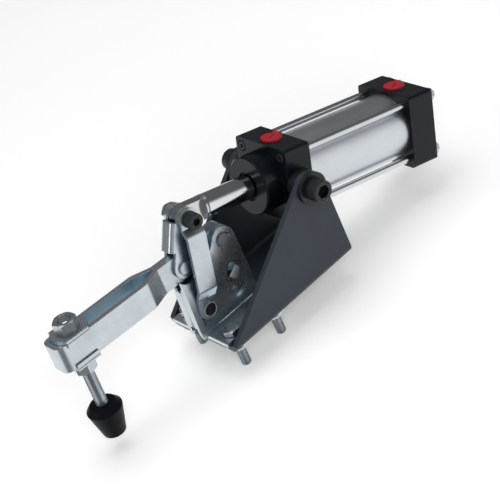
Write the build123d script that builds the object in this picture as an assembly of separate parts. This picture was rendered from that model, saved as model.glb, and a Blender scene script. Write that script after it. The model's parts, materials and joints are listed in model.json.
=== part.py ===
from build123d import *
import os
from math import acos, atan2, cos, degrees, hypot, radians, sin, tan

# Vertical-base toggle clamp driven by a tie-rod air cylinder on a folded bracket.
# Millimetres. +X points to the cylinder's rear, +Z up, the clamp is symmetric about y = 0 but for its screws.
# The origin is the centre of the four base studs, in the plane under their nuts.

os.makedirs("parts", exist_ok=True)

# Gaps between pieces that move on each other
side_gap = 0.2
pad_gap = 0.3
running_gap = 0.03

# Base bolts and their flanged nuts
bolt_pitch_x = 39.5
bolt_pitch_y = 56.8
bolt_r = 4.0
bolt_shank_r = 3.6
bolt_head_across = 13.0
bolt_head_height = 5.3
bolt_free_length = 18.0
bolt_hole_r = 4.5
base_nut_height = 6.0
base_nut_flange_r = 10.2
base_nut_flange_height = 1.8

# Share of a hexagon's flats that its turned corners leave
hex_turned_share = 0.97

# Bracket
bracket_sheet = 5.0
bracket_front_x = -30.0
bracket_half_width = 43.6
bracket_bend_inner_r = 2.5
bracket_edge_start = 6.0
ear_r = 13.0

# Pivots, from the stud pattern's centre and the bracket's underside
trunnion_x = 88.0
trunnion_height = 76.7
arm_pivot_x = 17.5
arm_pivot_height = 68.0
link_pivot_x = -20.6
link_pivot_height = 28.0
arm_rest_tilt = 3.8
arm_crank = 39.6
handle_length = 39.5
link_length = 78.9

# Base halves
base_sheet = 3.7
base_lobe_r = 10.9
base_front_foot_x = -35.0
base_front_foot_height = 15.0
base_horn_x = -31.0
base_horn_height = 64.4
base_shoulder_x = 3.5
base_shoulder_height = 68.2
base_flange_front_x = -32.0
base_flange_rear_x = 33.0
base_bend_inner_r = 1.5
base_lip_top = 50.0
base_lip_bottom = 15.0
base_dip_gap = 2.0
base_dip_run_x = 12.0
base_dip_run_z = 8.0
base_crest_angle = 50.0
window_x = 14.1
window_height = 38.2
window_length = 14.2
window_width = 11.7
window_turn = 59.0
window_tab_sink = 2.6
window_tab_sheet = 2.2
window_tab_gap = 0.5

# Pivot pins and bushes of the linkage
arm_pin_r = 5.0
arm_pin_head_r = 6.3
arm_pin_head_height = 2.0
arm_bush_r = 7.0
link_pin_r = 5.0
link_pin_proud = 1.2
link_ring_r = 6.4
link_ring_proud = 0.6
pin_chamfer = 0.6
handle_rivet_r = 4.0
handle_rivet_head_r = 5.8
handle_rivet_head_height = 1.8
handle_bush_r = 6.0

# Clamp arm
strap = 4.4
arm_half_height = 11.3
arm_half_width = 11.3
arm_neck_end = 60.5
arm_splay_end = 77.0
arm_front = 165.0
arm_front_bend_r = 6.4
arm_splay_bend_r = 6.0

# Spindle
spindle_ahead = 145.3
spindle_r = 5.0
spindle_top = 24.0
spindle_bottom = -82.0
spindle_chamfer = 1.0
spindle_washer_r = 15.5
spindle_washer_sheet = 2.7
spindle_washer_guide = 2.0
spindle_nut_across = 17.0
spindle_nut_height = 8.4
cap_top = -58.5
cap_rim_height = 5.0
cap_rim_r = 14.8
cap_shoulder_r = 10.5
cap_foot_r = 9.2
cap_foot = -87.8
rubber_edge_r = 1.2

# Handle
handle_sheet = 2.8
handle_eye_r = 9.0
handle_web_ahead = 14.0
handle_web_low = 12.5
handle_web_high = 36.4
handle_bend_inner_r = 1.0

# Links
link_sheet = 3.2
link_half_width = 8.6
link_outer_y = 16.0
link_foot_end = 10.5
link_belly_start = 18.9
link_belly_end = 64.9
link_head_start = 70.9
link_bend_r = 2.0

# Drive screw
drive_r = 4.0
drive_head_r = 6.5
drive_head_height = 8.0
drive_socket_across = 6.0
drive_socket_depth = 4.0
drive_washer_r = 6.8
drive_washer_height = 1.2
drive_nut_across = 13.0
drive_nut_height = 4.5
drive_tail = 1.5

# Cylinder caps and barrel
cap_width = 61.8
front_cap_length = 24.5
rear_cap_length = 25.6
cap_edge_r = 3.0
tube_visible = 107.0
tube_outer_r = 28.0
tube_bore_r = 25.0
tube_seat = 5.0
spigot_gap = 0.1
spigot_reach = 2.0
boss_r = 24.3
boss_length = 16.7
boss_chamfer = 1.0
trunnion_setback = 11.2

# Tie rods
tie_rod_r = 3.0
tie_rod_offset = 23.6
tie_rod_recess_r = 4.6
tie_rod_recess = 3.0
tie_nut_across = 10.0
tie_nut_height = 5.0
tie_rod_proud = 2.5
tie_rod_chamfer = 0.5

# Trunnion screws
trunnion_screw_r = 6.0
trunnion_thread_r = 5.5
trunnion_head_r = 9.0
trunnion_head_height = 12.0
trunnion_socket_across = 10.0
trunnion_socket_depth = 6.0
trunnion_thread_length = 14.0
trunnion_tip_gap = 1.0
trunnion_washer_r = 13.2
trunnion_washer_height = 3.0
trunnion_bush_r = 8.0
trunnion_flange_r = 13.0

# Ports and their plugs
port_r = 5.7
port_depth = 10.0
port_channel_r = 2.5
cap_chamber_r = 13.0
rear_cap_wall = 8.0
plug_flange_r = 8.75
plug_flange_height = 1.5
plug_stem = 7.0
plug_hollow_r = 4.2
plug_tab_width = 5.0
plug_tab_reach = 3.0
plug_tab_turn = 30.0
plug_slot_length = 10.0
plug_slot_width = 1.8
plug_slot_depth = 0.9

# Rod, its end and its guides
rod_r = 10.0
rod_end_shoulder = 18.4
rod_end_length = 20.6
rod_end_eye_r = 8.5
rod_end_stud_r = 5.5
rod_end_stud_length = 18.0
rod_end_chamfer = 0.7
rod_end_bush_r = 6.0
wiper_r = 11.7
wiper_depth = 5.0
wiper_sink = 1.5
rod_bush_wall = 2.0
rod_bush_length = 14.0
rod_seal_length = 5.0
rod_seal_r = 14.0

# Piston
piston_gap = 0.25
piston_length = 24.0
piston_from_spigot = 18.0
piston_spigot_r = 7.0
piston_nut_across = 19.0
piston_nut_height = 8.0
piston_nut_recess_r = 12.0
piston_nut_recess = 6.0
piston_tail = 1.0
piston_seal_width = 4.0
piston_seal_depth = 3.0
wear_ring_width = 6.0
wear_ring_depth = 1.5
barrel_seal_width = 2.4
barrel_seal_depth = 1.8

# Layers across the clamp, each on the one inside it
neck_y = strap
base_inner_y = neck_y + side_gap
base_outer_y = base_inner_y + base_sheet
handle_inner_y = neck_y + side_gap
handle_outer_y = handle_inner_y + handle_sheet
link_head_inner_y = handle_outer_y + side_gap
link_head_outer_y = link_head_inner_y + link_sheet
link_foot_inner_y = base_outer_y + pad_gap
link_foot_outer_y = link_foot_inner_y + link_sheet
ear_inner_y = bracket_half_width - bracket_sheet
base_flange_half_width = ear_inner_y - bracket_bend_inner_r - side_gap

# Heights of the frame's floor and of the five pivots
floor_z = base_nut_height
flange_z = floor_z + bracket_sheet
trunnion = (trunnion_x, floor_z + trunnion_height)
arm_pivot = (arm_pivot_x, floor_z + arm_pivot_height)
link_pivot = (link_pivot_x, floor_z + link_pivot_height)
handle_pivot = (
    arm_pivot[0] - arm_crank * cos(radians(arm_rest_tilt)),
    arm_pivot[1] + arm_crank * sin(radians(arm_rest_tilt)),
)


def elbow(start, end, start_length, end_length):
    """The rear point at the given distances from two pivots."""
    dx = end[0] - start[0]
    dz = end[1] - start[1]
    reach = hypot(dx, dz)
    turn = acos((start_length**2 + reach**2 - end_length**2) / (2 * start_length * reach))
    heading = atan2(dz, dx) - turn
    return (start[0] + start_length * cos(heading), start[1] + start_length * sin(heading))


drive_pivot = elbow(link_pivot, handle_pivot, link_length, handle_length)
rod_span = hypot(trunnion[0] - drive_pivot[0], trunnion[1] - drive_pivot[1])
cylinder_droop = degrees(atan2(drive_pivot[1] - trunnion[1], trunnion[0] - drive_pivot[0]))


def lean(start, end):
    """Turn about Y that brings +Z onto the line between two pivots."""
    return degrees(atan2(end[0] - start[0], end[1] - start[1]))


arm_place = Location((arm_pivot[0], 0, arm_pivot[1]), (0, arm_rest_tilt, 0))
handle_place = Location((handle_pivot[0], 0, handle_pivot[1]), (0, lean(handle_pivot, drive_pivot), 0))
link_place = Location((link_pivot[0], 0, link_pivot[1]), (0, lean(link_pivot, drive_pivot), 0))
cylinder_place = Location((trunnion[0], 0, trunnion[1]), (0, cylinder_droop, 0)) * Pos(-trunnion_setback, 0, 0)

# Stations along the cylinder, from the front cap's front face
tube_start = front_cap_length
tube_end = tube_start + tube_visible
cylinder_end = tube_end + rear_cap_length
eye_x = trunnion_setback - rod_span
piston_front = tube_start + spigot_reach + piston_from_spigot
piston_rear = piston_front + piston_length


def slab(outline, y_low, y_high):
    """A side-view outline, drawn in x and z, made solid between two y."""
    return extrude(Plane.XZ.offset(-y_high) * outline, amount=y_high - y_low)


def drum(x, z, radius, y_low, y_high):
    """A round bar along Y."""
    return slab(Pos(x, z) * Circle(radius), y_low, y_high)


def rod_x(radius, x_low, x_high, y=0, z=0):
    """A round bar along X."""
    return extrude(Plane.YZ.offset(x_low) * Pos(y, z) * Circle(radius), amount=x_high - x_low)


def hex_prism(across, height):
    """A hexagon standing on z = 0 with its top corners turned off."""
    prism = extrude(RegularPolygon(across / 2, 6, major_radius=False), amount=height)
    corner_r = across / 2 / cos(radians(30))
    turned_off = corner_r - across / 2 * hex_turned_share
    drop = turned_off * tan(radians(30))
    turned = Cylinder(corner_r, height, align=(Align.CENTER, Align.CENTER, Align.MIN))
    turned = chamfer(turned.edges().sort_by(Axis.Z)[-1], length=drop, length2=turned_off)
    return prism & turned


def mirrored(solid):
    """The same piece on the other side of y = 0."""
    return mirror(solid, about=Plane.XZ)


def save(name, *solids):
    """One file for each node."""
    pieces = []
    for shape in solids:
        pieces += shape.solids()
    if not pieces:
        raise ValueError(f"{name} is empty")
    export_step(pieces[0] if len(pieces) == 1 else Compound(children=pieces), f"parts/{name}.step")


def bolt_places():
    return GridLocations(bolt_pitch_x, bolt_pitch_y, 2, 2)


def bracket():
    """One folded sheet: a floor and two ears that narrow to the trunnions."""
    outer_r = bracket_bend_inner_r + bracket_sheet
    rear_x = trunnion[0] + ear_r
    tall = trunnion[1] + ear_r - floor_z
    outer = make_face(Polyline(
        (-bracket_half_width, 0), (bracket_half_width, 0),
        (bracket_half_width, tall), (-bracket_half_width, tall), close=True))
    outer = fillet(outer.vertices().sort_by(Axis.Y)[:2], outer_r)
    inner = make_face(Polyline(
        (-ear_inner_y, bracket_sheet), (ear_inner_y, bracket_sheet),
        (ear_inner_y, 2 * tall), (-ear_inner_y, 2 * tall), close=True))
    inner = fillet(inner.vertices().sort_by(Axis.Y)[:2], bracket_bend_inner_r)
    channel = extrude(Plane.YZ.offset(bracket_front_x) * Pos(0, floor_z) * (outer - inner),
                      amount=rear_x - bracket_front_x)
    foot = make_face(Polyline(
        (bracket_front_x, floor_z), (rear_x, floor_z),
        (rear_x, floor_z + bracket_edge_start), (bracket_front_x, floor_z + bracket_edge_start), close=True))
    eye = Pos(*trunnion) * Circle(ear_r)
    outline = make_hull(foot.edges() + eye.edges())
    folded = channel & slab(outline, -bracket_half_width, bracket_half_width)
    folded -= drum(*trunnion, trunnion_bush_r + running_gap, -bracket_half_width, bracket_half_width)
    folded -= Pos(0, 0, floor_z) * bolt_places() * Cylinder(bolt_hole_r, 3 * bracket_sheet)
    return folded


def base_outline():
    """Upright of a base half: lobe round the arm pivot, dip under the handle's foot, horn at the front."""
    lobe = Pos(*arm_pivot) * Circle(base_lobe_r)
    rear_x = arm_pivot[0] + base_lobe_r
    shoulder = (base_shoulder_x, floor_z + base_shoulder_height)
    body = make_face(Polyline(
        (base_front_foot_x, flange_z), (rear_x, flange_z), (rear_x, arm_pivot[1]), arm_pivot, shoulder,
        (base_horn_x, floor_z + base_horn_height), (base_front_foot_x, floor_z + base_front_foot_height),
        close=True))
    crest_turn = radians(base_crest_angle)
    crest = (arm_pivot[0] - base_lobe_r * cos(crest_turn), arm_pivot[1] + base_lobe_r * sin(crest_turn))
    web = make_face(Polyline(arm_pivot, crest, shoulder, close=True))
    lowest = closed_handle_pivot()
    dip_r = handle_eye_r + base_dip_gap
    dip_start = Pos(*lowest) * Circle(dip_r)
    dip_end = Pos(lowest[0] + base_dip_run_x, lowest[1] + base_dip_run_z) * Circle(dip_r)
    dip = make_hull(dip_start.edges() + dip_end.edges())
    return lobe + body + web - dip


def closed_handle_pivot():
    """Where the handle's foot is with link and handle in line, the clamp's lowest position."""
    reach = link_length - handle_length
    gap = hypot(arm_pivot[0] - link_pivot[0], arm_pivot[1] - link_pivot[1])
    turn = acos((reach**2 + gap**2 - arm_crank**2) / (2 * reach * gap))
    heading = atan2(arm_pivot[1] - link_pivot[1], arm_pivot[0] - link_pivot[0]) + turn
    return (link_pivot[0] + reach * cos(heading), link_pivot[1] + reach * sin(heading))


def base_half():
    """One base plate, on the +Y side: upright, bolted flange, front lip and lanced window."""
    tall = arm_pivot[1] + base_lobe_r
    outer_r = base_bend_inner_r + base_sheet
    section = make_face(Polyline(
        (base_inner_y, flange_z), (base_flange_half_width, flange_z),
        (base_flange_half_width, flange_z + base_sheet), (base_outer_y, flange_z + base_sheet),
        (base_outer_y, tall), (base_inner_y, tall), close=True))
    heel = min(section.vertices(), key=lambda v: hypot(v.X - base_inner_y, v.Y - flange_z))
    section = fillet(heel, outer_r)
    elbow_in = min(section.vertices(), key=lambda v: hypot(v.X - base_outer_y, v.Y - flange_z - base_sheet))
    section = fillet(elbow_in, base_bend_inner_r)
    front_x = base_front_foot_x - outer_r
    rear_x = base_flange_rear_x + outer_r
    angle = extrude(Plane.YZ.offset(front_x) * section, amount=rear_x - front_x)
    upright = angle & slab(base_outline(), base_inner_y, base_outer_y)
    keep = make_face(Polyline(
        (base_flange_front_x, flange_z), (base_flange_rear_x, flange_z),
        (base_flange_rear_x, flange_z + outer_r), (base_flange_front_x, flange_z + outer_r), close=True))
    half = upright + (angle & slab(keep, 0, bracket_half_width))
    lean_angle = degrees(atan2(base_horn_x - base_front_foot_x, base_horn_height - base_front_foot_height))
    lip_height = (base_lip_top - base_lip_bottom) / cos(radians(lean_angle))
    lip = Box(base_sheet, base_outer_y - side_gap / 2, lip_height, align=(Align.MIN, Align.MIN, Align.MIN))
    lip = fillet(lip.edges().filter_by(Axis.Z).group_by(Axis.X)[0].sort_by(Axis.Y)[-1], base_sheet - side_gap)
    half += Location((base_front_foot_x, side_gap / 2, floor_z + base_lip_bottom), (0, lean_angle, 0)) * lip
    half -= Pos(0, 0, flange_z) * bolt_places() * Cylinder(bolt_hole_r, 4 * base_sheet)
    half -= drum(*arm_pivot, arm_pin_r, 0, 2 * base_outer_y)
    half -= drum(*link_pivot, link_pin_r, 0, 2 * base_outer_y)
    window = Pos(window_x, floor_z + window_height) * Rot(0, 0, window_turn)
    half -= slab(window * Rectangle(window_length, window_width), 0, 2 * base_outer_y)
    tab_face = window * Pos(window_length / 4, 0) * Rectangle(window_length / 2, window_width - 2 * window_tab_gap)
    tab_y = base_outer_y - window_tab_sink
    tab = slab(tab_face, tab_y - window_tab_sheet, tab_y)
    return half + tab


def hex_bolt():
    """M8 hex bolt from above, its tip free under the nut. The shank in the holes and nut is at pitch radius."""
    top = flange_z + base_sheet
    head = Pos(0, 0, top) * hex_prism(bolt_head_across, bolt_head_height)
    shank = Pos(0, 0, top) * Cylinder(bolt_shank_r, top, align=(Align.CENTER, Align.CENTER, Align.MAX))
    tip = Cylinder(bolt_r, bolt_free_length, align=(Align.CENTER, Align.CENTER, Align.MAX))
    tip = chamfer(tip.edges().sort_by(Axis.Z)[0], bolt_r - bolt_shank_r)
    return head + shank + tip


def base_nut():
    """Flanged nut, flange up against the bracket."""
    flange = Pos(0, 0, base_nut_height) * Cylinder(
        base_nut_flange_r, base_nut_flange_height, align=(Align.CENTER, Align.CENTER, Align.MAX))
    body = Pos(0, 0, base_nut_height) * Rot(180, 0, 0) * hex_prism(bolt_head_across, base_nut_height)
    return flange + body - Cylinder(bolt_shank_r, 4 * base_nut_height)


def arm():
    """A strap folded into a U round the spindle slot, its two ends pressed together into the neck."""
    splay = atan2(arm_half_width - strap, arm_splay_end - arm_neck_end)
    shift = strap * tan(splay / 2)
    outer = make_face(Polyline(
        (arm_half_height, -strap), (-arm_neck_end, -strap), (-arm_splay_end, -arm_half_width),
        (-arm_front, -arm_half_width), (-arm_front, arm_half_width), (-arm_splay_end, arm_half_width),
        (-arm_neck_end, strap), (arm_half_height, strap), close=True))
    outer = fillet(outer.vertices().group_by(Axis.X)[0], arm_front_bend_r)
    outer = fillet([v for v in outer.vertices() if abs(v.X + arm_splay_end) < 0.1], arm_splay_bend_r + strap)
    outer = fillet([v for v in outer.vertices() if abs(v.X + arm_neck_end) < 0.1], arm_splay_bend_r)
    slot_y = arm_half_width - strap
    slot_tip = arm_neck_end + shift
    slot = make_face(Polyline(
        (-slot_tip, 0), (-arm_splay_end - shift, -slot_y), (-arm_front + strap, -slot_y),
        (-arm_front + strap, slot_y), (-arm_splay_end - shift, slot_y), close=True))
    slot = fillet(slot.vertices().group_by(Axis.X)[0], arm_front_bend_r - strap)
    slot = fillet([v for v in slot.vertices() if abs(v.X + arm_splay_end + shift) < 0.1], arm_splay_bend_r)
    strap_bar = extrude(outer - slot, amount=arm_half_height, both=True)
    nose = make_face(Polyline(
        (0, -arm_half_height), (0, arm_half_height), (-arm_front, arm_half_height),
        (-arm_front, -arm_half_height), close=True))
    profile = nose + Circle(arm_half_height)
    bar = strap_bar & slab(profile, -arm_half_width, arm_half_width)
    bar -= drum(0, 0, arm_bush_r, -arm_half_width, arm_half_width)
    bar -= drum(-arm_crank, 0, handle_bush_r, -arm_half_width, arm_half_width)
    return bar


def bush(x, outer_r, inner_r):
    """A plain bush as long as the neck is thick, in the arm's own frame."""
    return drum(x, 0, outer_r, -neck_y, neck_y) - drum(x, 0, inner_r, -neck_y, neck_y)


def arm_rivet():
    """Rivet end in the +Y base half. It stops at the neck, where the linkage is opened."""
    shank = drum(*arm_pivot, arm_pin_r, base_inner_y, base_outer_y)
    head = drum(*arm_pivot, arm_pin_head_r, base_outer_y, base_outer_y + arm_pin_head_height)
    return shank + chamfer(head.edges().filter_by(GeomType.CIRCLE).sort_by(Axis.Y)[-1], arm_pin_head_height / 2)


def link_pin():
    """The headless pin that carries both links, its ends chamfered."""
    end_y = link_foot_outer_y + link_ring_proud + link_pin_proud
    pin = drum(*link_pivot, link_pin_r, -end_y, end_y)
    return chamfer(pin.edges().filter_by(GeomType.CIRCLE), pin_chamfer)


def link():
    """One link on the +Y side, drawn upright from its lower pivot: a strap joggled out and back in."""
    foot_y = link_foot_inner_y
    belly_y = link_outer_y - link_sheet
    head_y = link_head_inner_y
    path = FilletPolyline(
        (foot_y, -link_half_width), (foot_y, link_foot_end), (belly_y, link_belly_start),
        (belly_y, link_belly_end), (head_y, link_head_start), (head_y, link_length + link_half_width),
        radius=link_bend_r)
    strip = make_face(path.wire().offset_2d(link_sheet, kind=Kind.INTERSECTION, side=Side.RIGHT, closed=True))
    bent = extrude(Plane.YZ * strip, amount=link_half_width, both=True)
    ends = make_hull(Circle(link_half_width).edges() + (Pos(0, link_length) * Circle(link_half_width)).edges())
    bent &= slab(ends, 0, 2 * link_outer_y)
    bent -= drum(0, 0, link_ring_r, 0, 2 * link_outer_y)
    bent -= drum(0, link_length, drive_r, 0, 2 * link_outer_y)
    return bent


def link_ring():
    """Bearing ring pressed into a link's foot, running on the pin."""
    ring = drum(0, 0, link_ring_r, link_foot_inner_y, link_foot_outer_y + link_ring_proud)
    return ring - drum(0, 0, link_pin_r + running_gap, 0, 2 * link_outer_y)


def handle():
    """Folded channel drawn upright from its foot: two side plates with an eye at each end, joined by a front web."""
    outer = make_face(Polyline(
        (-handle_web_ahead, -handle_outer_y), (handle_eye_r, -handle_outer_y),
        (handle_eye_r, handle_outer_y), (-handle_web_ahead, handle_outer_y), close=True))
    outer = fillet(outer.vertices().group_by(Axis.X)[0], handle_bend_inner_r + handle_sheet)
    inner = make_face(Polyline(
        (-handle_web_ahead + handle_sheet, -handle_inner_y), (2 * handle_eye_r, -handle_inner_y),
        (2 * handle_eye_r, handle_inner_y), (-handle_web_ahead + handle_sheet, handle_inner_y), close=True))
    inner = fillet(inner.vertices().group_by(Axis.X)[0], handle_bend_inner_r)
    channel = Pos(0, 0, -handle_eye_r) * extrude(outer - inner, amount=handle_length + 2 * handle_eye_r)
    foot = Circle(handle_eye_r)
    head = Pos(0, handle_length) * Circle(handle_eye_r)
    web = make_face(Polyline(
        (-handle_web_ahead, handle_web_low), (0, handle_web_low), (0, handle_web_high),
        (-handle_web_ahead, handle_web_high), close=True))
    cheeks = make_hull(foot.edges() + head.edges()) + web
    folded = channel & slab(cheeks, -handle_outer_y, handle_outer_y)
    folded -= drum(0, 0, handle_rivet_r, -handle_outer_y, handle_outer_y)
    folded -= drum(0, handle_length, drive_r + running_gap, -handle_outer_y, handle_outer_y)
    return folded


def handle_rivet():
    """The rivet through the handle's foot and the arm's neck, in the handle's frame."""
    shank = drum(0, 0, handle_rivet_r, -handle_outer_y, handle_outer_y)
    head = drum(0, 0, handle_rivet_head_r, handle_outer_y, handle_outer_y + handle_rivet_head_height)
    head = chamfer(head.edges().filter_by(GeomType.CIRCLE).sort_by(Axis.Y)[-1], handle_rivet_head_height / 2)
    return shank + head + mirrored(head)


def socket_screw(shank_r, shank_length, head_r, head_height, socket_across, socket_depth):
    """Socket head screw along +Z, its head's seat on z = 0 and its shank below."""
    head = Cylinder(head_r, head_height, align=(Align.CENTER, Align.CENTER, Align.MIN))
    head = chamfer(head.edges().sort_by(Axis.Z)[-1], head_r / 12)
    socket = extrude(RegularPolygon(socket_across / 2, 6, major_radius=False), amount=socket_depth)
    head -= Pos(0, 0, head_height - socket_depth) * socket
    return head + Cylinder(shank_r, shank_length, align=(Align.CENTER, Align.CENTER, Align.MAX))


def facing_out(x, y, z):
    """Frame on the -Y side whose own +Z points away from the clamp."""
    return Pos(x, y, z) * Rot(90, 0, 0)


def drive_screw():
    """Both ends of the drive screw, in the link's frame. Between the handle's plates it is left out."""
    seat_y = link_head_outer_y + drive_washer_height
    near = facing_out(0, -seat_y, link_length) * socket_screw(
        drive_r, seat_y - handle_inner_y, drive_head_r, drive_head_height, drive_socket_across, drive_socket_depth)
    tail_y = seat_y + drive_nut_height + drive_tail
    far = drum(0, link_length, drive_r, handle_inner_y, tail_y)
    far = chamfer(far.edges().filter_by(GeomType.CIRCLE).sort_by(Axis.Y)[-1], pin_chamfer)
    return [near, far]


def drive_washer():
    """Washer on the +Y link, in the link's frame."""
    return drum(0, link_length, drive_washer_r, link_head_outer_y, link_head_outer_y + drive_washer_height) - drum(
        0, link_length, drive_r, 0, 2 * link_outer_y)


def drive_nut():
    """Nut on the screw's far end, in the link's frame."""
    seat_y = link_head_outer_y + drive_washer_height
    nut = Pos(0, seat_y, link_length) * Rot(-90, 0, 0) * hex_prism(drive_nut_across, drive_nut_height)
    return nut - drum(0, link_length, drive_r, 0, 2 * link_outer_y)


def spindle_passage():
    """What the spindle clears in the washers and nuts that it slides in."""
    reach = arm_half_height + spindle_washer_sheet + spindle_nut_height
    return Cylinder(spindle_r + running_gap, 3 * reach)


def spindle_washer():
    """Flanged washer on top of the arm, its guide in the slot, drawn about the spindle's axis."""
    flange = Cylinder(spindle_washer_r, spindle_washer_sheet, align=(Align.CENTER, Align.CENTER, Align.MIN))
    flange = fillet(flange.edges().sort_by(Axis.Z)[-1], spindle_washer_sheet / 3)
    slot_width = 2 * (arm_half_width - strap)
    guide = Box(slot_width - side_gap, slot_width - 2 * side_gap, spindle_washer_guide,
                align=(Align.CENTER, Align.CENTER, Align.MAX))
    return Pos(0, 0, arm_half_height) * (flange + guide) - spindle_passage()


def spindle_nut():
    """Nut on the upper washer."""
    seat = arm_half_height + spindle_washer_sheet
    return Pos(0, 0, seat) * hex_prism(spindle_nut_across, spindle_nut_height) - spindle_passage()


def spindle():
    """Threaded rod through the slot, both ends chamfered."""
    rod = Pos(0, 0, spindle_bottom) * Cylinder(
        spindle_r, spindle_top - spindle_bottom, align=(Align.CENTER, Align.CENTER, Align.MIN))
    return chamfer(rod.edges().filter_by(GeomType.CIRCLE), spindle_chamfer)


def rubber_cap():
    """Moulded rubber tip: a shoulder, a rim at its widest and a taper to the foot."""
    rim_z = cap_top - cap_rim_height
    half = make_face(Polyline(
        (0, cap_top), (cap_shoulder_r, cap_top), (cap_rim_r, rim_z), (cap_foot_r, cap_foot), (0, cap_foot), close=True))
    half = fillet([v for v in half.vertices() if v.X > spindle_r], rubber_edge_r)
    cap = revolve(Plane.XZ * half, axis=Axis.Z)
    return cap - Pos(0, 0, spindle_bottom) * Cylinder(
        spindle_r, spindle_top - spindle_bottom, align=(Align.CENTER, Align.CENTER, Align.MIN))


def tie_rod_places():
    return GridLocations(2 * tie_rod_offset, 2 * tie_rod_offset, 2, 2)


def along(x):
    """Frame across the cylinder's axis: its own +Z runs to the rear."""
    return Plane.YZ.offset(x)


def square_cap(x_low, x_high):
    block = extrude(along(x_low) * Rectangle(cap_width, cap_width), amount=x_high - x_low)
    return fillet(block.edges().filter_by(Axis.X), cap_edge_r)


def tube_groove(x_face, way):
    """Ring groove in a cap's inner face that takes the end of the tube."""
    low, high = sorted((x_face, x_face - way * tube_seat))
    return rod_x(tube_outer_r, low, high) - rod_x(tube_bore_r - spigot_gap, low, high)


def seal_groove(x_middle):
    low = x_middle - barrel_seal_width / 2
    high = x_middle + barrel_seal_width / 2
    return rod_x(tube_bore_r, low, high) - rod_x(tube_bore_r - barrel_seal_depth, low, high)


def port(x):
    """Threaded port from the cap's top, with its narrow channel down to the cap's chamber."""
    top = cap_width / 2
    mouth = Pos(x, 0, top) * Cylinder(port_r, port_depth, align=(Align.CENTER, Align.CENTER, Align.MAX))
    channel = Cylinder(port_channel_r, top - port_depth, align=(Align.CENTER, Align.CENTER, Align.MIN))
    channel = Pos(x, 0, 0) * channel
    return mouth + channel


def front_cap():
    """Rod-side cap with its boss, rod passage, ports and trunnion threads."""
    cap = square_cap(0, front_cap_length)
    boss = rod_x(boss_r, -boss_length, 0)
    cap += chamfer(boss.edges().filter_by(GeomType.CIRCLE).sort_by(Axis.X)[0], boss_chamfer)
    cap += rod_x(tube_bore_r - spigot_gap, 0, front_cap_length + spigot_reach)
    cap -= tube_groove(front_cap_length, 1)
    cap -= seal_groove(front_cap_length - tube_seat / 2)
    nose = -boss_length
    cap -= rod_x(wiper_r, nose, nose + wiper_sink + wiper_depth)
    cap -= rod_x(rod_r + rod_bush_wall, nose, nose + wiper_sink + wiper_depth + rod_bush_length)
    seal_x = nose + wiper_sink + wiper_depth + rod_bush_length
    cap -= rod_x(rod_seal_r, seal_x, seal_x + rod_seal_length)
    cap -= rod_x(rod_r + 4 * running_gap, nose, front_cap_length + spigot_reach)
    cap -= rod_x(cap_chamber_r, seal_x + rod_seal_length, front_cap_length + spigot_reach)
    cap -= port(front_cap_length / 2)
    cap -= along(0) * tie_rod_places() * Cylinder(tie_rod_r, 2 * front_cap_length)
    cap -= along(0) * tie_rod_places() * Cylinder(tie_rod_recess_r, 2 * tie_rod_recess)
    thread_y = cap_width / 2 - trunnion_thread_length
    for low in (thread_y, -cap_width / 2):
        cap -= drum(trunnion_setback, 0, trunnion_thread_r, low, low + trunnion_thread_length)
    return cap


def rear_cap():
    cap = square_cap(tube_end, cylinder_end)
    cap += rod_x(tube_bore_r - spigot_gap, tube_end - spigot_reach, tube_end + tube_seat)
    cap -= tube_groove(tube_end, -1)
    cap -= seal_groove(tube_end + tube_seat / 2)
    cap -= rod_x(cap_chamber_r, tube_end - spigot_reach, cylinder_end - rear_cap_wall)
    cap -= port(cylinder_end - rear_cap_length / 2)
    cap -= along(tube_end) * tie_rod_places() * Cylinder(tie_rod_r, 4 * rear_cap_length)
    return cap


def barrel():
    low = tube_start - tube_seat
    high = tube_end + tube_seat
    return rod_x(tube_outer_r, low, high) - rod_x(tube_bore_r, low, high)


def barrel_seal(x_middle):
    """Ring seal between a cap's spigot and the tube."""
    return seal_groove(x_middle)


def tie_rod():
    """One tie rod on the cylinder's own axis."""
    low = tie_rod_recess / 2
    high = cylinder_end + tie_nut_height + tie_rod_proud
    rod = rod_x(tie_rod_r, low, high)
    return chamfer(rod.edges().filter_by(GeomType.CIRCLE), tie_rod_chamfer)


def tie_nut():
    nut = along(cylinder_end) * hex_prism(tie_nut_across, tie_nut_height)
    return nut - rod_x(tie_rod_r, cylinder_end, cylinder_end + tie_nut_height)


def trunnion_screw():
    """Screw on the -Y side, in the cylinder's frame."""
    seat_y = bracket_half_width + pad_gap + trunnion_washer_height
    length = seat_y - cap_width / 2
    screw = socket_screw(trunnion_screw_r, length, trunnion_head_r, trunnion_head_height,
                         trunnion_socket_across, trunnion_socket_depth)
    thread = Pos(0, 0, -length) * Cylinder(
        trunnion_thread_r, trunnion_thread_length - trunnion_tip_gap, align=(Align.CENTER, Align.CENTER, Align.MAX))
    return facing_out(trunnion_setback, -seat_y, 0) * (screw + thread)


def trunnion_washer():
    low = bracket_half_width + pad_gap
    high = low + trunnion_washer_height
    return mirrored(drum(trunnion_setback, 0, trunnion_washer_r, low, high)
                    - drum(trunnion_setback, 0, trunnion_screw_r, low, high))


def trunnion_bush():
    """Flanged bush between cap and ear; its sleeve turns in the ear."""
    flange = drum(trunnion_setback, 0, trunnion_flange_r, cap_width / 2, ear_inner_y - pad_gap)
    sleeve = drum(trunnion_setback, 0, trunnion_bush_r, cap_width / 2, bracket_half_width + pad_gap)
    return mirrored(flange + sleeve - drum(trunnion_setback, 0, trunnion_screw_r, 0, 2 * bracket_half_width))


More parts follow.
